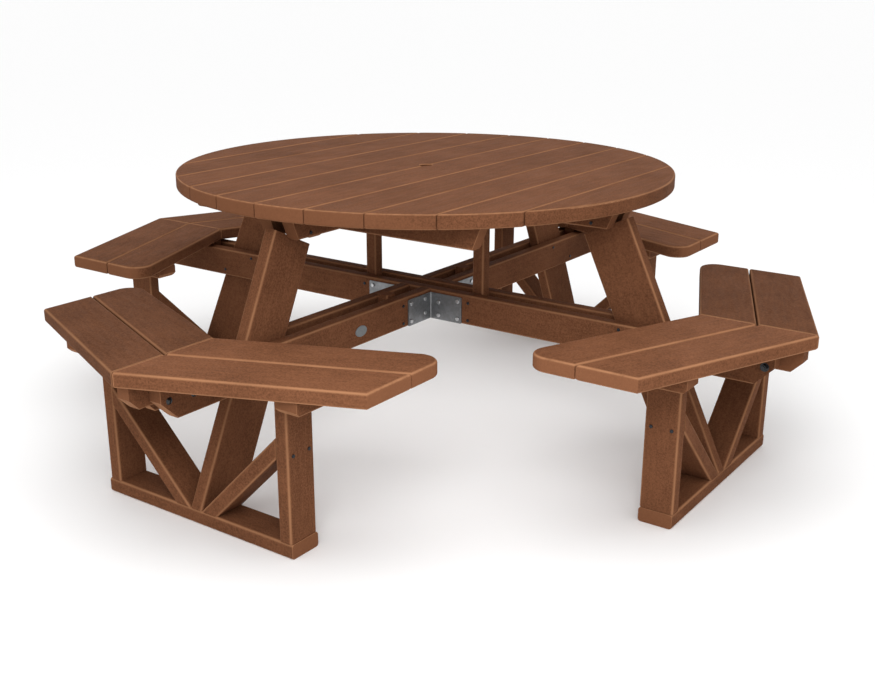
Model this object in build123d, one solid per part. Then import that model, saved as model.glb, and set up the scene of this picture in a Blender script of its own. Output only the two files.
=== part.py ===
from build123d import *
import math
import os

# A round picnic table with four two-board benches, joined to it by a cross of twin beams.
# Origin on the ground under the umbrella hole, +Z up, -Y towards the front bench, +X the right bench.
# An "arm" is one quarter of the frame. It is drawn along +X and turned about Z into its place:
# X is then the reach from the centre, and Y runs along the bench.

# Lumber: every bar is 38 mm stock in one of four widths, with rounded long edges
THICK = 38.0
BOARD_WIDTH = 140.0  # top boards, seat boards, legs
BEAM_WIDTH = 89.0  # beams and the bench frames
CLEAT_WIDTH = 64.0  # cleats under the top, bearers under the seats
EDGE_R = 8.0
SAWN_R = 1.5  # softened edge of a sawn end
SLOT = THICK / 2  # half the gap between twin members
FACE = SLOT + THICK  # outer face of a twin member, from its axis

# Table top
TOP_RADIUS = 706.0
TOP_HEIGHT = 750.0
TOP_BOARDS = 10
TOP_PITCH = 144.0
TOP_GAP = 3.0
TOP_EDGE_R = 5.0
POLE_HOLE_R = 19.0
POLE_HOLE_BEVEL = 2.0
CLEAT_REACH = 640.0  # at the top edge of a slanted end
CLEAT_SLANT = 27.0  # how much shorter the bottom edge is, at each end
CROSS_CLEAT_REACH = 490.0
CROSS_CLEAT_FACE = 457.0  # outer face, which the leg cleats butt against

# Beams, posts and legs
BEAM_TOP = 403.0
BEAM_REACH = 1084.0
BEAM_CORNER = 51.0  # 45 degree cut at the lower corner of each end
POST_OFFSET = 195.0
SPACER_RISE = 7.0
LEG_FOOT = 956.0  # outer edge of a leg where it stands on the rail
LEG_LEAN = 25.26  # degrees from upright

# Benches
SEAT_HEIGHT = 452.0
SEAT_REACH = 1166.0  # mitred outer corner
SEAT_HALF = 533.0  # free end, measured along the bench
SEAT_TURN = 22.5  # each half bends inwards, degrees
SEAT_GAP = 3.0
MITRE_GAP = 2.0
SEAT_CORNER_R = 48.0
FRAME_FACE = 956.0  # outer face of rail, uprights and braces
RAIL_HALF = 315.0
UPRIGHT_FACE = 312.0
BEARER_INNER = 318.0
BEARER_SPAN = (736.0, 996.0)
BEARER_CORNER = 12.0  # 45 degree cuts at its lower corners
BLOCK_SPAN = (880.0, 1139.0)
BLOCK_CORNER = 30.0

# Corner brackets
BRACKET_REACH = 168.0
BRACKET_THICK = 3.0
BRACKET_Z = (315.0, 393.0)
BRACKET_BEND_R = 4.0
BRACKET_CORNER_R = 4.0

# Fasteners
BOLT_R = 4.75
BOLT_HEAD_R = 9.0
BOLT_HEAD_H = 5.0
BOLT_STUB = 12.0  # thread beyond the plank face
WASHER_R = 11.0
WASHER_H = 2.0
NUT_FLATS = 14.3
NUT_H = 8.0
NUT_BEVEL = 0.8
SCREW_R = 2.4
SCREW_HEAD_R = 4.5
SCREW_HEAD_H = 2.6
BRACKET_HEAD_R = 6.0
BRACKET_HEAD_H = 3.6
HEAD_ROUND = 0.55  # rounding of a screw head, as a share of its height
POINT_H = 5.0  # pointed tip of a screw
POINT_R = 0.4
DRILL_PLAY = 0.35  # radial room round a bolt or screw
DRILL_DEEPER = 1.5
BITE = 25.0  # depth of a screw in its second piece
BRACKET_BITE = 30.0
OPPOSED_GAP = 2.0  # screws from two sides stop this far short of the middle

# Blank oval plate on the front beam
BADGE_SIZE = (47.0, 30.0)
BADGE_THICK = 2.0
BADGE_AT = (380.0, 355.0)  # reach and height

TOP_UNDER = TOP_HEIGHT - THICK
SEAT_UNDER = SEAT_HEIGHT - THICK
CLEAT_UNDER = TOP_UNDER - CLEAT_WIDTH
BEAM_UNDER = BEAM_TOP - BEAM_WIDTH
FRAME_INNER = FRAME_FACE - BEAM_WIDTH
BEARER_UNDER = SEAT_UNDER - THICK
BRACE_FOOT = THICK * math.sqrt(2.0)  # footprint of a 45 degree bar
ARMS = {"right": 0.0, "rear": 90.0, "left": 180.0, "front": 270.0}
SIDES = {"right": 1, "left": -1}  # hand of someone who sits facing the table

# Bolts and screws, as (reach, height) on an arm
BLOCK_BOLTS = ((1059.5, 365.0), (985.0, 361.0))
LEG_SCREWS = ((664.0, 388.0), (786.0, 334.0), (569.0, 661.0), (530.0, 690.0))
SPACER_SCREWS = ((189.0, 380.0), (189.0, 328.0))
POST_SCREWS = ((POST_OFFSET, 665.0), (POST_OFFSET, 695.0))
UPRIGHT_SCREWS = ((885.0, 253.0), (938.0, 253.0))
BEAM_PLATE_SCREWS = ((155.0, 380.0), (155.0, 328.0), (88.5, 367.0), (88.5, 328.0))
ARM_PLATE_SCREWS = ((155.0, 380.0), (155.0, 328.0), (88.5, 380.0), (88.5, 338.0))
# Reaches of the screws that are driven upwards
BEARER_SCREWS = (765.0, 830.0, 905.0, 965.0)
LEG_CLEAT_SCREWS = (490.0, 592.0)
CLEAT_END_SCREW = 16.0  # from the end of a cleat's bottom face


# ------------------------------------------------------------------ shapes
def span(x, y, z):
    """A plain box between two limits along each axis."""
    limits = (x, y, z)
    middle = [(high + low) / 2 for low, high in limits]
    return Pos(*middle) * Box(*[high - low for low, high in limits])


def bar_x(x, y, z):
    """A bar along X between limits, its four long edges rounded."""
    section = RectangleRounded(y[1] - y[0], z[1] - z[0], EDGE_R)
    length = x[1] - x[0]
    solid = extrude(Plane.YZ * section, length / 2, both=True)
    return Pos((x[0] + x[1]) / 2, (y[0] + y[1]) / 2, (z[0] + z[1]) / 2) * solid


def bar_y(x, y, z):
    """A bar along Y between limits."""
    return Rot(0, 0, 90) * bar_x(y, (-x[1], -x[0]), z)


def bar_z(x, y, z):
    """A bar along Z between limits."""
    section = RectangleRounded(x[1] - x[0], y[1] - y[0], EDGE_R)
    solid = extrude(section, z[1] - z[0])
    return Pos((x[0] + x[1]) / 2, (y[0] + y[1]) / 2, z[0]) * solid


def side_prism(points, y):
    """A prism with its outline in X and Z, between two limits along Y."""
    outline = make_face(Polyline(points, close=True))
    solid = extrude(Plane.XZ * outline, (y[1] - y[0]) / 2, both=True)
    return Pos(0, (y[0] + y[1]) / 2, 0) * solid


def soften(solid, *faces):
    """Round the edges of sawn faces."""
    edges = [edge for face in faces for edge in face.edges()]
    return fillet(edges, SAWN_R)


def soften_ends(solid, axis):
    """Round the edges of the two end faces along an axis."""
    ordered = solid.faces().sort_by(axis)
    return soften(solid, ordered[0], ordered[-1])


def turned(shape, degrees):
    """A shape of the +X arm, turned about Z to another arm."""
    return Rot(0, 0, degrees) * shape


# ------------------------------------------------------------------ table top
def top_boards():
    """Boards along Y, cut to a circle together, every edge rounded."""
    bevel = Cone(POLE_HOLE_R, POLE_HOLE_R + POLE_HOLE_BEVEL, POLE_HOLE_BEVEL)
    pole_hole = Pos(0, 0, TOP_UNDER) * Cylinder(POLE_HOLE_R, 3 * THICK)
    pole_hole += Pos(0, 0, TOP_HEIGHT - POLE_HOLE_BEVEL / 2) * bevel
    boards = {}
    for number in range(TOP_BOARDS):
        middle = (number - (TOP_BOARDS - 1) / 2) * TOP_PITCH
        plan = Circle(TOP_RADIUS) & (Pos(middle, 0) * Rectangle(TOP_PITCH - TOP_GAP, 3 * TOP_RADIUS))
        board = Pos(0, 0, TOP_UNDER) * extrude(plan, THICK)
        board = fillet(board.edges().filter_by(Axis.Z, reverse=True), TOP_EDGE_R)
        if abs(middle) < TOP_PITCH:
            board = board - pole_hole
        boards[f"top_board_{number + 1:02d}"] = board
    return boards


def slanted_cleat(y, reach):
    """A cleat along X whose ends slant in towards the bottom."""
    bottom = reach - CLEAT_SLANT
    outline = [(-reach, TOP_UNDER), (reach, TOP_UNDER), (bottom, CLEAT_UNDER), (-bottom, CLEAT_UNDER)]
    cleat = bar_x((-reach, reach), y, (CLEAT_UNDER, TOP_UNDER)) & side_prism(outline, y)
    return soften_ends(cleat, Axis.X)


def leg_cleat(side):
    """A short cleat beside a leg, from the cross cleat outwards."""
    y = tuple(sorted((side * SLOT, side * FACE)))
    inner = CROSS_CLEAT_FACE
    bottom = CLEAT_REACH - CLEAT_SLANT
    outline = [(inner, TOP_UNDER), (CLEAT_REACH, TOP_UNDER), (bottom, CLEAT_UNDER), (inner, CLEAT_UNDER)]
    cleat = bar_x((inner, CLEAT_REACH), y, (CLEAT_UNDER, TOP_UNDER)) & side_prism(outline, y)
    return soften(cleat, cleat.faces().sort_by(Axis.X)[-1])


def cleats():
    inner = CROSS_CLEAT_FACE - THICK
    short = [turned(leg_cleat(side), ARMS[arm]) for arm in ("front", "rear") for side in (1, -1)]
    return {
        "centre_cleat_front": slanted_cleat((-FACE, -SLOT), CLEAT_REACH),
        "centre_cleat_rear": slanted_cleat((SLOT, FACE), CLEAT_REACH),
        "cross_cleat_front": slanted_cleat((-CROSS_CLEAT_FACE, -inner), CROSS_CLEAT_REACH),
        "cross_cleat_rear": slanted_cleat((inner, CROSS_CLEAT_FACE), CROSS_CLEAT_REACH),
        "leg_cleats": Compound(short),
    }


# ------------------------------------------------------------------ frame
def leg():
    """A leaning leg, sawn level where it stands on the rail and where it meets the top."""
    rise = TOP_UNDER - THICK
    length = 2 * rise
    section = RectangleRounded(BOARD_WIDTH, THICK, EDGE_R)
    level_width = BOARD_WIDTH / math.cos(math.radians(LEG_LEAN))
    lean = Rot(0, -LEG_LEAN, 0) * extrude(section, length / 2, both=True)
    lean = Pos(LEG_FOOT - level_width / 2, 0, THICK) * lean
    return lean & span((0, SEAT_REACH), (-THICK, THICK), (THICK, TOP_UNDER))


def beam_end(reach, corner, bottom):
    """Points of a beam's outer end, whose lower corner is cut at 45 degrees."""
    return [(reach, bottom + corner), (reach - corner, bottom)]


def through_beam(y):
    """A beam along X from bench to bench."""
    right = beam_end(BEAM_REACH, BEAM_CORNER, BEAM_UNDER)
    left = [(-x, z) for x, z in reversed(right)]
    outline = [(-BEAM_REACH, BEAM_TOP), (BEAM_REACH, BEAM_TOP)] + right + left
    beam = bar_x((-BEAM_REACH, BEAM_REACH), y, (BEAM_UNDER, BEAM_TOP)) & side_prism(outline, y)
    return soften_ends(beam, Axis.X)


def arm_beam(side):
    """Half a beam, from the face of the through beam out to the bench."""
    y = tuple(sorted((side * SLOT, side * FACE)))
    outer = beam_end(BEAM_REACH, BEAM_CORNER, BEAM_UNDER)
    outline = [(FACE, BEAM_TOP), (BEAM_REACH, BEAM_TOP)] + outer + [(FACE, BEAM_UNDER)]
    beam = bar_x((FACE, BEAM_REACH), y, (BEAM_UNDER, BEAM_TOP)) & side_prism(outline, y)
    return soften(beam, beam.faces().sort_by(Axis.X)[-1])


def spacer(top):
    """An upright square bar between twin members, from the beams' underside."""
    x = (POST_OFFSET - SLOT, POST_OFFSET + SLOT)
    return bar_z(x, (-SLOT, SLOT), (BEAM_UNDER, top))


def mitre_block():
    """A block that sticks out from between twin beams and carries the seat's mitre."""
    inner, outer = BLOCK_SPAN
    bottom = SEAT_UNDER - CLEAT_WIDTH
    end = beam_end(outer, BLOCK_CORNER, bottom)
    outline = [(inner, SEAT_UNDER), (outer, SEAT_UNDER)] + end + [(inner, bottom)]
    y = (-SLOT, SLOT)
    return bar_x((inner, outer), y, (bottom, SEAT_UNDER)) & side_prism(outline, y)


def bracket():
    """An L bracket of folded plate in the corner between two arms."""
    inner = FACE + BRACKET_THICK
    outline = [
        (FACE, FACE), (BRACKET_REACH, FACE), (BRACKET_REACH, inner),
        (inner, inner), (inner, BRACKET_REACH), (FACE, BRACKET_REACH),
    ]
    plan = make_face(Polyline(outline, close=True))
    plate = Pos(0, 0, BRACKET_Z[0]) * extrude(plan, BRACKET_Z[1] - BRACKET_Z[0])
    upright = plate.edges().filter_by(Axis.Z)
    bend = upright.sort_by_distance((inner, inner, sum(BRACKET_Z) / 2))[0]
    plate = fillet(bend, BRACKET_BEND_R)
    ends = plate.edges().filter_by(Axis.X) + plate.edges().filter_by(Axis.Y)
    tips = [edge for edge in ends if edge.length < BRACKET_THICK + 1]
    return fillet(tips, BRACKET_CORNER_R)


def frame_members():
    nodes = {f"leg_{arm}": turned(leg(), angle) for arm, angle in ARMS.items()}
    nodes["post_right"] = spacer(TOP_UNDER)
    nodes["post_left"] = turned(spacer(TOP_UNDER), ARMS["left"])
    stubs = [turned(spacer(BEAM_TOP + SPACER_RISE), ARMS[arm]) for arm in ("front", "rear")]
    nodes["arm_spacers"] = Compound(stubs)
    nodes["through_beam_front"] = through_beam((-FACE, -SLOT))
    nodes["through_beam_rear"] = through_beam((SLOT, FACE))
    for arm in ("front", "rear"):
        for hand, side in SIDES.items():
            nodes[f"arm_beam_{arm}_{hand}"] = turned(arm_beam(side), ARMS[arm])
    nodes["mitre_blocks"] = Compound([turned(mitre_block(), angle) for angle in ARMS.values()])
    nodes["corner_brackets"] = Compound([turned(bracket(), angle) for angle in ARMS.values()])
    return nodes


# ------------------------------------------------------------------ benches
def seat_board(side, row):
    """One seat board: mitred at the middle of the bench, sawn square to it at the free end."""
    turn = math.radians(SEAT_TURN)
    pitch = (BOARD_WIDTH + SEAT_GAP) / math.cos(turn)
    outer = SEAT_REACH - row * pitch
    width = BOARD_WIDTH / math.cos(turn)
    near = MITRE_GAP / 2
    slope = math.tan(turn)
    corners = [
        (outer - near * slope, near), (outer - SEAT_HALF * slope, SEAT_HALF),
        (outer - width - SEAT_HALF * slope, SEAT_HALF), (outer - width - near * slope, near),
    ]
    plan = make_face(Polyline(corners, close=True))
    if row:
        acute = plan.vertices().sort_by_distance(corners[2])[0]
        plan = fillet(acute, SEAT_CORNER_R)
    board = Pos(0, 0, SEAT_UNDER) * extrude(plan, THICK)
    level = board.edges().filter_by(Axis.Z, reverse=True)
    long_edges = [edge for edge in level if edge.center().Y > near + EDGE_R]
    board = fillet(long_edges, EDGE_R)
    board = soften(board, board.faces().sort_by(Axis.Y)[0])
    return board if side > 0 else mirror(board, Plane.XZ)


def seat(side):
    """The two boards on one side of the mitre."""
    return [seat_board(side, row) for row in (0, 1)]


def rail():
    solid = bar_y((FRAME_INNER, FRAME_FACE), (-RAIL_HALF, RAIL_HALF), (0, THICK))
    return soften_ends(solid, Axis.Y)


def upright(side):
    y = tuple(sorted((side * (UPRIGHT_FACE - THICK), side * UPRIGHT_FACE)))
    return bar_z((FRAME_INNER, FRAME_FACE), y, (THICK, SEAT_UNDER))


def brace(side):
    """A 45 degree bar from the leg's foot up to the upright."""
    wall = UPRIGHT_FACE - THICK
    middle = SLOT + BRACE_FOOT / 2
    section = RectangleRounded(BEAM_WIDTH, THICK, EDGE_R)
    lean = Rot(-45, 0, 0) * extrude(section, 2 * wall, both=True)
    lean = Pos(FRAME_INNER + BEAM_WIDTH / 2, middle, THICK) * lean
    solid = lean & span((FRAME_INNER, FRAME_FACE), (0, wall), (THICK, SEAT_UNDER))
    return solid if side > 0 else mirror(solid, Plane.XZ)


def bearer(side):
    """A flat bar under the seat's free end, its lower corners cut off."""
    y = tuple(sorted((side * BEARER_INNER, side * (BEARER_INNER + CLEAT_WIDTH))))
    inner, outer = BEARER_SPAN
    cut = BEARER_UNDER + BEARER_CORNER
    outline = [
        (inner, SEAT_UNDER), (outer, SEAT_UNDER), (outer, cut), (outer - BEARER_CORNER, BEARER_UNDER),
        (inner + BEARER_CORNER, BEARER_UNDER), (inner, cut),
    ]
    solid = bar_x(BEARER_SPAN, y, (BEARER_UNDER, SEAT_UNDER)) & side_prism(outline, y)
    return soften_ends(solid, Axis.X)


def benches():
    nodes = {}
    for arm, angle in ARMS.items():
        name = f"bench_{arm}"
        nodes[f"{name}_rail"] = turned(rail(), angle)
        nodes[f"{name}_uprights"] = Compound([turned(upright(side), angle) for side in (1, -1)])
        nodes[f"{name}_braces"] = Compound([turned(brace(side), angle) for side in (1, -1)])
        nodes[f"{name}_bearers"] = Compound([turned(bearer(side), angle) for side in (1, -1)])
        for hand, side in SIDES.items():
            nodes[f"{name}_seat_{hand}"] = Compound([turned(board, angle) for board in seat(side)])
    return nodes


# ------------------------------------------------------------------ fasteners
def bolt():
    """A carriage bolt along Y: domed head on the +Y side, threaded end on the -Y side."""
    dome_r = (BOLT_HEAD_R ** 2 + BOLT_HEAD_H ** 2) / (2 * BOLT_HEAD_H)
    dome = Pos(0, 0, FACE + BOLT_HEAD_H - dome_r) * Sphere(dome_r)
    dome = dome & (Pos(0, 0, FACE + BOLT_HEAD_H / 2) * Cylinder(BOLT_HEAD_R, BOLT_HEAD_H))
    shank = Pos(0, 0, -BOLT_STUB / 2) * Cylinder(BOLT_R, 2 * FACE + BOLT_STUB)
    return Rot(-90, 0, 0) * (dome + shank)


def washer():
    ring = Cylinder(WASHER_R, WASHER_H) - Cylinder(BOLT_R + DRILL_PLAY, WASHER_H)
    return Rot(-90, 0, 0) * (Pos(0, 0, -FACE - WASHER_H / 2) * ring)


def nut():
    side = NUT_FLATS / math.sqrt(3.0)
    hexagon = extrude(RegularPolygon(side, 6), NUT_H)
    base = (Align.CENTER, Align.CENTER, Align.MIN)
    corner_cut = Cone(side + NUT_BEVEL, side - NUT_BEVEL, NUT_H, align=base)
    solid = (hexagon & corner_cut) - Cylinder(BOLT_R + DRILL_PLAY, 3 * NUT_H)
    return Rot(90, 0, 0) * (Pos(0, 0, FACE + WASHER_H) * solid)


def screw(head_r, head_h, length):
    """A pan-head screw that points down, with the underside of its head at the origin."""
    head = Pos(0, 0, head_h / 2) * Cylinder(head_r, head_h)
    head = fillet(head.edges().group_by(Axis.Z)[-1], HEAD_ROUND * head_h)
    tip = Pos(0, 0, POINT_H / 2 - length) * Cone(POINT_R, SCREW_R, POINT_H)
    shank = Pos(0, 0, (POINT_H - length) / 2) * Cylinder(SCREW_R, length - POINT_H)
    return head + shank + tip


def screw_drill(length):
    depth = length + DRILL_DEEPER
    return Pos(0, 0, -depth / 2) * Cylinder(SCREW_R + DRILL_PLAY, depth)


def facing(x, y, z, tilt=0.0, spin=0.0):
    """A place whose +Z points out of the face that a screw head sits on."""
    return Pos(x, y, z) * Rot(0, 0, spin) * Rot(0, tilt, 0)


def bolt_places():
    """Every bolt as a place on an arm, turned to the arm."""
    turns = [Rot(0, 0, angle) for angle in ARMS.values()]
    return [turn * Pos(reach, 0, height) for turn in turns for reach, height in BLOCK_BOLTS]


def bracket_screw_places():
    """Four screws in each plate of each bracket."""
    outside = FACE + BRACKET_THICK
    places = []
    for side_x in (1, -1):
        for side_y in (1, -1):
            for reach, height in BEAM_PLATE_SCREWS:
                point = (side_x * reach, side_y * outside, height)
                places.append(facing(*point, tilt=90, spin=side_y * 90))
            for reach, height in ARM_PLATE_SCREWS:
                point = (side_x * outside, side_y * reach, height)
                places.append(facing(*point, tilt=90, spin=90 - side_x * 90))
    return places


def face_screws(points, face):
    """Screws through both faces of twin members, at (reach, height) on an arm."""
    return [facing(reach, side * face, height, tilt=90, spin=side * 90) for reach, height in points
            for side in (1, -1)]


def deck_screw_places():
    """Places of the plain screws, keyed by screw length."""
    into_slot = FACE - OPPOSED_GAP
    into_brace = THICK + BITE
    into_top = CLEAT_WIDTH + BITE
    places = {into_slot: [], into_brace: [], into_top: []}
    bearer_y = BEARER_INNER + CLEAT_WIDTH / 2
    for arm, angle in ARMS.items():
        turn = Rot(0, 0, angle)
        has_post = arm in ("right", "left")
        twin = SPACER_SCREWS + LEG_SCREWS + (POST_SCREWS if has_post else ())
        places[into_slot] += [turn * place for place in face_screws(twin, FACE)]
        places[into_brace] += [turn * place for place in face_screws(UPRIGHT_SCREWS, UPRIGHT_FACE)]
        for reach in BEARER_SCREWS:
            for side in (1, -1):
                places[into_brace].append(turn * facing(reach, side * bearer_y, BEARER_UNDER, tilt=180))
    places[into_top] += [facing(x, y, CLEAT_UNDER, tilt=180) for x, y in cleat_screw_points()]
    return places


def cleat_screw_points():
    """Plan of the screws that hold the top boards: one in each board at each cleat."""
    boards = [(number + 0.5) * TOP_PITCH for number in range(TOP_BOARDS // 2 - 1)]
    centre = boards + [CLEAT_REACH - CLEAT_SLANT - CLEAT_END_SCREW]
    cross = boards[:-1] + [CROSS_CLEAT_REACH - CLEAT_SLANT - CLEAT_END_SCREW]
    middle = (SLOT + FACE) / 2
    points = []
    for side_x in (1, -1):
        for side_y in (1, -1):
            points += [(side_x * x, side_y * middle) for x in centre]
            points += [(side_x * x, side_y * (CROSS_CLEAT_FACE - SLOT)) for x in cross]
            points += [(side_x * middle, side_y * y) for y in LEG_CLEAT_SCREWS]
    return points


def fasteners():
    """The fastener nodes and the holes that they need."""
    bolt_at = bolt_places()
    bracket_at = bracket_screw_places()
    deck_at = deck_screw_places()
    bracket_length = BRACKET_THICK + BRACKET_BITE
    bolt_drill = Rot(90, 0, 0) * Cylinder(BOLT_R + DRILL_PLAY, 2 * (FACE + DRILL_DEEPER))
    drills = [place * bolt_drill for place in bolt_at]
    drills += [place * screw_drill(bracket_length) for place in bracket_at]
    for length, places in deck_at.items():
        drills += [place * screw_drill(length) for place in places]
    bracket_screw = screw(BRACKET_HEAD_R, BRACKET_HEAD_H, bracket_length)
    deck_screws = []
    for length, places in deck_at.items():
        pattern = screw(SCREW_HEAD_R, SCREW_HEAD_H, length)
        deck_screws += [place * pattern for place in places]
    nodes = {
        "carriage_bolts": Compound([place * bolt() for place in bolt_at]),
        "bolt_washers": Compound([place * washer() for place in bolt_at]),
        "bolt_nuts": Compound([place * nut() for place in bolt_at]),
        "bracket_screws": Compound([place * bracket_screw for place in bracket_at]),
        "deck_screws": Compound(deck_screws),
    }
    return nodes, drills


def badge():
    """A blank oval plate on the outer face of the front arm's right-hand beam."""
    oval = extrude(Ellipse(BADGE_SIZE[0] / 2, BADGE_SIZE[1] / 2), BADGE_THICK)
    oval = fillet(oval.edges().group_by(Axis.Z)[-1], BADGE_THICK / 3)
    reach, height = BADGE_AT
    on_face = Pos(reach, FACE, height) * Rot(-90, 0, 0) * oval
    return turned(on_face, ARMS["front"])


def overlaps(first, second):
    """Whether two bounding boxes meet."""
    return all(
        low_a < high_b and low_b < high_a
        for low_a, high_a, low_b, high_b in zip(first.min, first.max, second.min, second.max)
    )


def drilled(shape, drills):
    """A node with the holes that reach it, its pieces kept apart."""
    pieces = []
    for solid in shape.solids():
        room = solid.bounding_box()
        near = [drill for drill, extent in drills if overlaps(room, extent)]
        result = solid.cut(*near) if near else solid
        pieces += list(result.solids())
    return pieces[0] if len(pieces) == 1 else Compound(pieces)


def main():
    fastener_nodes, drills = fasteners()
    drills = [(drill, drill.bounding_box()) for drill in drills]
    wood = {**top_boards(), **cleats(), **frame_members(), **benches()}
    nodes = {name: drilled(shape, drills) for name, shape in wood.items()}
    nodes.update(fastener_nodes)
    nodes["blank_badge"] = badge()
    os.makedirs("parts", exist_ok=True)
    for name, shape in nodes.items():
        export_step(shape, f"parts/{name}.step")
    print(len(nodes), "nodes")


main()
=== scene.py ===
"""Looks of the round picnic table: plastic lumber, galvanised brackets and dark fasteners."""

import bpy
import math
from mathutils import Matrix, Vector

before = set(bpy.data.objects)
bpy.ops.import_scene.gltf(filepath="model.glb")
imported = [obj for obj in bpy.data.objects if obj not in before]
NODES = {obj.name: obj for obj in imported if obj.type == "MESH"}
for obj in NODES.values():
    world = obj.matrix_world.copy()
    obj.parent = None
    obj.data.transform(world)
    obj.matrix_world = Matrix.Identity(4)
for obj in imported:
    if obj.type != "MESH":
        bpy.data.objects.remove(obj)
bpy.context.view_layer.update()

# ------------------------------------------------------------------ camera and light
# Metres and degrees, with the lens and its sensor in millimetres
CAMERA_AT = (1.8935, -2.6246, 1.2685)
CAMERA_AZIMUTH = 35.19
CAMERA_ELEVATION = 18.48
CAMERA_ROLL = 0.19
CAMERA_LENS = 46.1
CAMERA_REACH = 400.0
SENSOR = 36.0

WORLD_COLOUR = (1.0, 1.0, 1.0)
WORLD_STRENGTH = 1.03
FLOOR_COLOUR = (0.95, 0.95, 0.95)
FLOOR_ROUGHNESS = 0.9
FLOOR_SPECULAR = 0.1
FLOOR_SIZE = 160.0
# name, where, aimed at, width, height, watts
LIGHTS = (
    ("key", (1.5, -2.2, 1.95), (0.3, -0.5, 0.4), 1.1, 0.9, 27.0),
    ("overhead", (0.3, -0.5, 3.4), (0.1, -0.1, 0.0), 2.4, 2.4, 18.0),
    ("under_fill", (0.0, 0.0, 0.29), (0.0, 0.0, 0.0), 1.2, 1.2, 1.6),
)

# ------------------------------------------------------------------ colours, linear
LUMBER = (0.180, 0.0735, 0.0360)
LUMBER_DEEP = (0.098, 0.0395, 0.0193)
# LUMBER_EDGE: painted highlight on rounded edges, mixed with pale wear
LUMBER_EDGE = (0.310, 0.148, 0.074)
LUMBER_SAWN = (0.200, 0.085, 0.042)
STEEL_LIGHT = (0.27, 0.277, 0.285)
STEEL_DARK = (0.18, 0.185, 0.19)
ZINC = (0.62, 0.63, 0.64)
SCREW_DARK = (0.045, 0.048, 0.054)
BOLT_BLACK = (0.045, 0.046, 0.048)
BADGE = (0.16, 0.175, 0.18)
SCUFF_DARKENING = 0.7

# ------------------------------------------------------------------ textures
# Noise scales, in cycles per metre
CLOUD_SCALE = 7.0
WAVE_SCALE = 22.0
EDGE_PATCH_SCALE = 40.0
GLOSS_SCALE = 60.0
STREAK_SCALE = 110.0
SPECK_SCALE = 240.0
FIBRE_SCALE = 330.0
GRIT_SCALE = 420.0
SAND_SCALE = 520.0
CRYSTAL_SCALE = 130.0
CRYSTAL_WARP_SCALE = 90.0
CRYSTAL_CLOUD_SCALE = 30.0
DIMPLE_SCALE = 500.0
SCUFF_SCALE = 260.0

# Shares of the noises in the lumber's shade, and of its edge colour (painted highlight and wear) and sawn
# colour
CLOUD_SHARE = 0.22
STREAK_SHARE = 0.20
SPECK_SHARE = 0.58
HIGHLIGHT_AND_WEAR_SHARE = 0.9
SAWN_SHARE = 0.7
# The share of the distance along the grain that the streaks leave out, which draws them out that way
GRAIN_DRAW = 0.85
# How squarely a face lies on the bar's axes: plain above the first, full painted edge highlight and wear
# below the second
PLAIN_FACING = 0.99
HIGHLIGHT_AND_WEAR_FACING = 0.80
# The same towards the grain: a sawn end starts at the first and is full at the second
END_FACING_START = 0.80
END_FACING_FULL = 0.93
# Painted highlight and wear line each side of a mitre joint, as distances from the plane of the joint
MITRE_HIGHLIGHT_AND_WEAR_TO = 0.0055
MITRE_HIGHLIGHT_AND_WEAR_FULL = 0.0030
LUMBER_SPECULAR = 0.01
SAWN_ROUGHER = 0.12

# ------------------------------------------------------------------ directions
X, Y, Z = Vector((1, 0, 0)), Vector((0, 1, 0)), Vector((0, 0, 1))
ARMS = {"right": 0, "rear": 1, "left": 2, "front": 3}
SEAT_TURN = math.radians(22.5)
LEG_LEAN = math.radians(25.26)
BRACE_LEAN = math.radians(45.0)

# Painted light and shade: seat halves made paler or darker for how the light falls on them
SEAT_PAINTED_LIGHT = {("front", "right"): 1.18, ("right", "left"): 1.20, ("front", "left"): 0.84,
              ("right", "right"): 0.82, ("left", "left"): 0.95, ("left", "right"): 0.93}
TOP_BOARDS = 10
TOP_TONE_SWING = 0.04
TOP_TONE_STEP = 2.4


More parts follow.
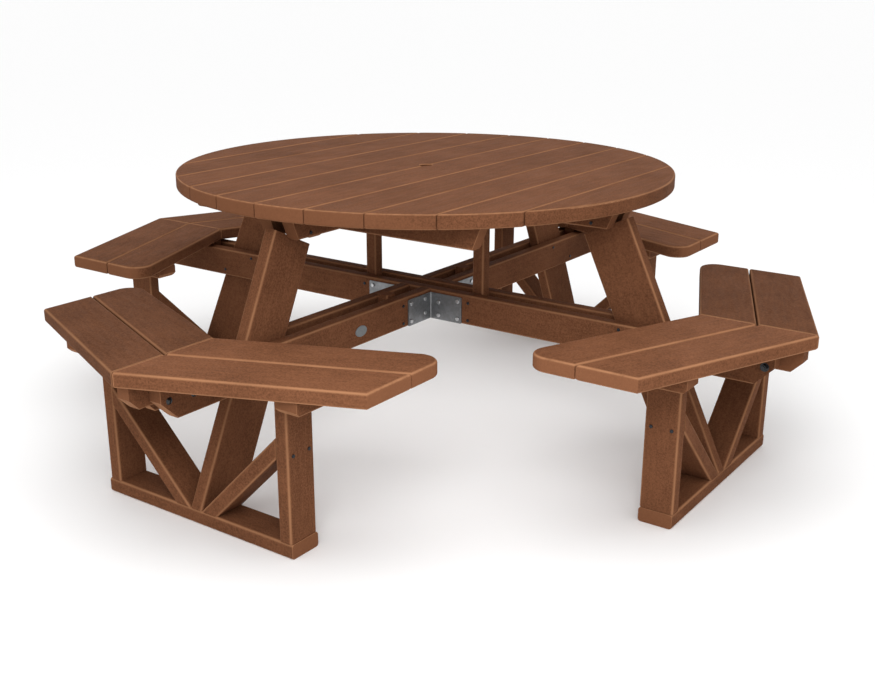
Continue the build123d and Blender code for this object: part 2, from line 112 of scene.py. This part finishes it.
class Nodes:
    """A material, with short ways to add and join its shader nodes."""

    def __init__(self, name):
        self.material = bpy.data.materials.new(name)
        self.material.use_nodes = True
        self.tree = self.material.node_tree
        self.shader = self.tree.nodes["Principled BSDF"]

    def add(self, kind, links=(), **values):
        node = self.tree.nodes.new(kind)
        for key, value in values.items():
            setattr(node, key, value)
        for socket, source in dict(links).items():
            self.feed(node, socket, source)
        return node

    def feed(self, node, socket, source):
        """Join an output to a socket, or set the socket to a plain value."""
        if hasattr(source, "is_output"):
            self.tree.links.new(source, node.inputs[socket])
        else:
            node.inputs[socket].default_value = source

    def maths(self, operation, first, second=0.0, clamp=False):
        node = self.add("ShaderNodeMath", operation=operation, use_clamp=clamp)
        self.feed(node, 0, first)
        self.feed(node, 1, second)
        return node.outputs[0]

    def vector(self, operation, first, second=None, scale=None):
        node = self.add("ShaderNodeVectorMath", operation=operation)
        self.feed(node, 0, first)
        if second is not None:
            self.feed(node, 1, second)
        if scale is not None:
            self.feed(node, "Scale", scale)
        return node.outputs["Value" if operation == "DOT_PRODUCT" else "Vector"]

    def noise(self, place, scale, detail=3.0, rough=0.55):
        node = self.add("ShaderNodeTexNoise", {"Vector": place, "Scale": scale, "Detail": detail,
                                               "Roughness": rough})
        return node.outputs["Fac"]

    def stretch(self, value, low, high, out_low=0.0, out_high=1.0):
        """A value moved from one range to another, and held inside it."""
        node = self.add("ShaderNodeMapRange", {"Value": value, "From Min": low, "From Max": high,
                                               "To Min": out_low, "To Max": out_high})
        return node.outputs["Result"]

    def mix(self, share, first, second):
        """Two colours mixed. Sockets 6 and 7 are the mix node's pair of colours, and output 2 its result."""
        node = self.add("ShaderNodeMix", data_type="RGBA")
        self.feed(node, 0, share)
        for socket, colour in ((6, first), (7, second)):
            self.feed(node, socket, colour if hasattr(colour, "is_output") else (*colour, 1.0))
        return node.outputs[2]

    def bump(self, height, distance, strength, before=None):
        node = self.add("ShaderNodeBump", {"Height": height, "Distance": distance, "Strength": strength})
        if before is not None:
            self.feed(node, "Normal", before)
        return node.outputs["Normal"]

    def facing(self, normal, axis):
        """How squarely a surface faces along an axis, from 0 to 1."""
        return self.maths("ABSOLUTE", self.vector("DOT_PRODUCT", normal, axis))

    def change_coordinate(self, vector, axis, change):
        """A vector with one coordinate put through a function."""
        parts = self.add("ShaderNodeSeparateXYZ", {0: vector}).outputs
        joined = self.add("ShaderNodeCombineXYZ")
        for index in range(3):
            self.feed(joined, index, change(parts[index]) if index == axis else parts[index])
        return joined.outputs[0]


def toned(colour, tone):
    """A colour made paler or darker."""
    return [channel * tone for channel in colour]


# ------------------------------------------------------------------ lumber
def mirrored(n, place, normal, axis):
    """The place and the normal as they are on the positive side of a mirror plane."""
    sign = n.maths("SIGN", n.add("ShaderNodeSeparateXYZ", {0: place}).outputs[axis])
    normal = n.change_coordinate(normal, axis, lambda value: n.maths("MULTIPLY", value, sign))
    place = n.change_coordinate(place, axis, lambda value: n.maths("ABSOLUTE", value))
    return place, normal


def edge_rounding(n, normal, grain, side, flat):
    """1 where the surface faces between the bar's own axes, 0 on its plain faces: the mask of the painted
    edge highlight and wear.
    """
    squarest = n.facing(normal, grain.cross(side))
    if flat:
        upright = n.maths("SUBTRACT", 1.0, n.maths("MULTIPLY", squarest, squarest), clamp=True)
        squarest = n.maths("MAXIMUM", squarest, n.maths("SQRT", upright))
    else:
        for axis in (grain, side):
            squarest = n.maths("MAXIMUM", squarest, n.facing(normal, axis))
    return n.stretch(squarest, PLAIN_FACING, HIGHLIGHT_AND_WEAR_FACING)


def lumber_shade(n, place, streaks):
    """Broad clouds, long streaks and a sandy speckle, from deep to pale."""
    clouds = n.noise(place, CLOUD_SCALE)
    long_streaks = n.noise(streaks, STREAK_SCALE, detail=4.0, rough=0.65)
    specks = n.noise(place, SPECK_SCALE, rough=0.7)
    shade = n.maths("ADD", n.maths("MULTIPLY", clouds, CLOUD_SHARE),
                    n.maths("MULTIPLY", long_streaks, STREAK_SHARE))
    shade = n.maths("ADD", shade, n.maths("MULTIPLY", specks, SPECK_SHARE))
    return n.stretch(shade, 0.39, 0.61)


def lumber(name, grain, side, fold=None, flat=False, mitre=None, tone=1.0):
    """Plastic lumber whose grain runs along a direction. side is the width direction.

    fold numbers the axis along which the piece is mirrored, so that a mirrored pair shares a material.
    A flat board gets the painted edge highlight and wear only where level and upright surfaces meet,
    not where its outline curves.
    mitre is the direction across the mitre joint, whose cut edges get the painted highlight and wear too.
    """
    n = Nodes(name)
    grain = Vector(grain).normalized()
    side = Vector(side).normalized()
    place = n.add("ShaderNodeTexCoord").outputs["Object"]
    normal = n.add("ShaderNodeNewGeometry").outputs["Normal"]
    if fold is not None:
        place, normal = mirrored(n, place, normal, fold)
    along = n.vector("DOT_PRODUCT", place, grain)
    drawn = n.vector("SCALE", grain, scale=n.maths("MULTIPLY", along, -GRAIN_DRAW))
    streaks = n.vector("ADD", place, drawn)
    colour = n.mix(lumber_shade(n, place, streaks), toned(LUMBER_DEEP, tone), toned(LUMBER, tone))

    # Painted highlight on the rounded edges, mixed with wear: paler edges, in patches
    edge_highlight_and_wear = edge_rounding(n, normal, grain, side, flat)
    if mitre is not None:
        # Painted highlight and wear along the mitre cut
        from_joint = n.maths("ABSOLUTE", n.vector("DOT_PRODUCT", place, mitre))
        edge_highlight_and_wear = n.maths("MAXIMUM", edge_highlight_and_wear, n.stretch(from_joint, MITRE_HIGHLIGHT_AND_WEAR_TO, MITRE_HIGHLIGHT_AND_WEAR_FULL))
    patches = n.stretch(n.noise(streaks, EDGE_PATCH_SCALE), 0.30, 0.60, out_low=0.55)
    patchy_highlight_and_wear = n.maths("MULTIPLY", edge_highlight_and_wear, patches)
    colour = n.mix(n.maths("MULTIPLY", patchy_highlight_and_wear, HIGHLIGHT_AND_WEAR_SHARE), colour, toned(LUMBER_EDGE, tone))

    # Sawn ends are paler and rougher, with a granular foam texture
    end = n.stretch(n.facing(normal, grain), END_FACING_START, END_FACING_FULL)
    grit = n.noise(place, GRIT_SCALE, detail=5.0, rough=0.75)
    sawn = n.mix(n.stretch(grit, 0.35, 0.65), toned(LUMBER, tone), toned(LUMBER_SAWN, tone))
    colour = n.mix(n.maths("MULTIPLY", end, SAWN_SHARE), colour, sawn)
    n.feed(n.shader, "Base Color", colour)

    gloss = n.stretch(n.noise(streaks, GLOSS_SCALE), 0.3, 0.7, out_low=0.54, out_high=0.68)
    n.feed(n.shader, "Roughness", n.maths("ADD", gloss, n.maths("MULTIPLY", end, SAWN_ROUGHER)))
    n.feed(n.shader, "Specular IOR Level", LUMBER_SPECULAR)
    waves = n.noise(streaks, WAVE_SCALE, detail=2.0)
    fibres = n.maths("ADD", n.noise(streaks, FIBRE_SCALE, detail=4.0, rough=0.6),
                     n.noise(place, SAND_SCALE, rough=0.65))
    relief = n.bump(waves, distance=0.0012, strength=0.25)
    relief = n.bump(fibres, distance=0.0004, strength=0.45, before=relief)
    relief = n.bump(n.maths("MULTIPLY", grit, end), distance=0.0006, strength=0.5, before=relief)
    n.feed(n.shader, "Normal", relief)
    return n.material


# ------------------------------------------------------------------ metal
def galvanised():
    """Dull zinc with faint crystals."""
    n = Nodes("galvanised_steel_look")
    place = n.add("ShaderNodeTexCoord").outputs["Object"]
    drift = n.add("ShaderNodeTexNoise", {"Vector": place, "Scale": CRYSTAL_WARP_SCALE}).outputs["Color"]
    warped = n.vector("ADD", place, n.vector("SCALE", drift, scale=0.006))
    crystals = n.add("ShaderNodeTexVoronoi", {"Vector": warped, "Scale": CRYSTAL_SCALE})
    tint = n.add("ShaderNodeSeparateXYZ", {0: crystals.outputs["Color"]}).outputs[0]
    clouds = n.noise(place, CRYSTAL_CLOUD_SCALE)
    shade = n.maths("ADD", n.maths("MULTIPLY", tint, 0.35), n.maths("MULTIPLY", clouds, 0.65))
    n.feed(n.shader, "Base Color", n.mix(n.stretch(shade, 0.1, 0.9), STEEL_DARK, STEEL_LIGHT))
    n.feed(n.shader, "Metallic", 0.9)
    n.feed(n.shader, "Roughness", n.stretch(shade, 0.2, 0.8, out_low=0.52, out_high=0.36))
    n.feed(n.shader, "Normal", n.bump(n.noise(place, DIMPLE_SCALE), distance=0.0002, strength=0.3))
    return n.material


def metal(name, colour, rough, metallic=1.0):
    """Plated, coated or painted metal with light scuffs."""
    n = Nodes(name)
    place = n.add("ShaderNodeTexCoord").outputs["Object"]
    scuffs = n.noise(place, SCUFF_SCALE, detail=4.0, rough=0.7)
    scuffed = n.stretch(scuffs, 0.3, 0.7)
    n.feed(n.shader, "Base Color", n.mix(scuffed, toned(colour, SCUFF_DARKENING), colour))
    n.feed(n.shader, "Metallic", metallic)
    n.feed(n.shader, "Roughness", n.stretch(scuffs, 0.3, 0.7, out_low=rough - 0.07, out_high=rough + 0.07))
    n.feed(n.shader, "Normal", n.bump(scuffs, distance=0.0001, strength=0.3))
    return n.material


# ------------------------------------------------------------------ materials on the CAD nodes
def dress(node, material):
    """Give a CAD node its material."""
    piece = NODES[node]
    piece.data.materials.clear()
    piece.data.materials.append(material)


def turned(vector, quarter):
    """A direction turned by quarter turns about the upright axis."""
    return Matrix.Rotation(quarter * math.pi / 2, 3, "Z") @ vector


def dress_top():
    for number in range(1, TOP_BOARDS + 1):
        node = f"top_board_{number:02d}"
        tone = 1.0 + TOP_TONE_SWING * math.sin(number * TOP_TONE_STEP)
        dress(node, lumber(f"{node}_look", Y, X, flat=True, tone=tone))


def dress_bars():
    """The legs, the benches and every bar that runs along one of the three axes."""
    along_x = lumber("lumber_along_x", X, Y)
    along_y = lumber("lumber_along_y", Y, X)
    upright = lumber("lumber_upright", Z, X)
    for node in ("centre_cleat_front", "centre_cleat_rear", "cross_cleat_front", "cross_cleat_rear",
                 "through_beam_front", "through_beam_rear"):
        dress(node, along_x)
    for node in ("leg_cleats", "arm_beam_front_left", "arm_beam_front_right", "arm_beam_rear_left",
                 "arm_beam_rear_right", "mitre_blocks"):
        dress(node, along_y)
    for node in ("post_right", "post_left", "arm_spacers"):
        dress(node, upright)
    for arm, quarter in ARMS.items():
        out = turned(X, quarter)
        across = turned(Y, quarter)
        arm_along_x = quarter % 2 == 0
        lean = Z * math.cos(LEG_LEAN) - out * math.sin(LEG_LEAN)
        dress(f"leg_{arm}", lumber(f"leg_{arm}_look", lean, across))
        dress(f"bench_{arm}_rail", along_y if arm_along_x else along_x)
        dress(f"bench_{arm}_bearers", along_x if arm_along_x else along_y)
        dress(f"bench_{arm}_uprights", upright)
        dress_braces(arm, out, across, 1 if arm_along_x else 0)
        dress_seats(arm, out, across)


def dress_braces(arm, out, across, fold):
    """The pair of braces shares a material, folded at the middle of the bench."""
    positive = Vector([abs(component) for component in across])
    rising = Z * math.cos(BRACE_LEAN) + positive * math.sin(BRACE_LEAN)
    dress(f"bench_{arm}_braces", lumber(f"bench_{arm}_braces_look", rising, out, fold=fold))


def dress_seats(arm, out, across):
    for hand, sign in (("right", 1), ("left", -1)):
        node = f"bench_{arm}_seat_{hand}"
        run = across * sign * math.cos(SEAT_TURN) - out * math.sin(SEAT_TURN)
        # Painted light and shade: the seat half's tone stands for how the light falls on it
        tone = SEAT_PAINTED_LIGHT.get((arm, hand), 1.0)
        dress(node, lumber(f"{node}_look", run, run.cross(Z), flat=True, mitre=across, tone=tone))


def dress_metal():
    dress("corner_brackets", galvanised())
    dress("bracket_screws", metal("zinc_screw_look", ZINC, rough=0.34))
    dress("deck_screws", metal("dark_screw_look", SCREW_DARK, rough=0.42))
    black = metal("black_bolt_look", BOLT_BLACK, rough=0.26, metallic=0.85)
    for node in ("carriage_bolts", "bolt_washers", "bolt_nuts"):
        dress(node, black)
    dress("blank_badge", metal("badge_look", BADGE, rough=0.35, metallic=0.0))


# ------------------------------------------------------------------ stage
def camera():
    data = bpy.data.cameras.new("camera")
    data.lens = CAMERA_LENS
    data.sensor_width = SENSOR
    data.clip_end = CAMERA_REACH
    eye = bpy.data.objects.new("camera", data)
    bpy.context.scene.collection.objects.link(eye)
    azimuth = Matrix.Rotation(math.radians(CAMERA_AZIMUTH), 4, "Z")
    tilt = Matrix.Rotation(math.radians(90.0 - CAMERA_ELEVATION), 4, "X")
    roll = Matrix.Rotation(math.radians(CAMERA_ROLL), 4, "Z")
    eye.matrix_world = Matrix.Translation(CAMERA_AT) @ azimuth @ tilt @ roll
    bpy.context.scene.camera = eye


def lights():
    for name, where, target, width, height, watts in LIGHTS:
        data = bpy.data.lights.new(name, "AREA")
        data.shape = "RECTANGLE"
        data.size = width
        data.size_y = height
        data.energy = watts
        lamp = bpy.data.objects.new(name, data)
        bpy.context.scene.collection.objects.link(lamp)
        lamp.location = where
        lamp.rotation_euler = (Vector(target) - Vector(where)).to_track_quat("-Z", "Y").to_euler()


def ground():
    half = FLOOR_SIZE / 2
    corners = [(-half, -half, 0), (half, -half, 0), (half, half, 0), (-half, half, 0)]
    mesh = bpy.data.meshes.new("floor")
    mesh.from_pydata(corners, [], [(0, 1, 2, 3)])
    floor = bpy.data.objects.new("floor", mesh)
    bpy.context.scene.collection.objects.link(floor)
    n = Nodes("floor_look")
    n.feed(n.shader, "Base Color", (*FLOOR_COLOUR, 1.0))
    n.feed(n.shader, "Roughness", FLOOR_ROUGHNESS)
    n.feed(n.shader, "Specular IOR Level", FLOOR_SPECULAR)
    mesh.materials.append(n.material)


def studio():
    world = bpy.data.worlds.new("studio")
    world.use_nodes = True
    background = world.node_tree.nodes["Background"]
    background.inputs["Color"].default_value = (*WORLD_COLOUR, 1.0)
    background.inputs["Strength"].default_value = WORLD_STRENGTH
    bpy.context.scene.world = world
    bpy.context.scene.view_settings.view_transform = "Standard"


dress_top()
dress_bars()
dress_metal()
camera()
lights()
ground()
studio()
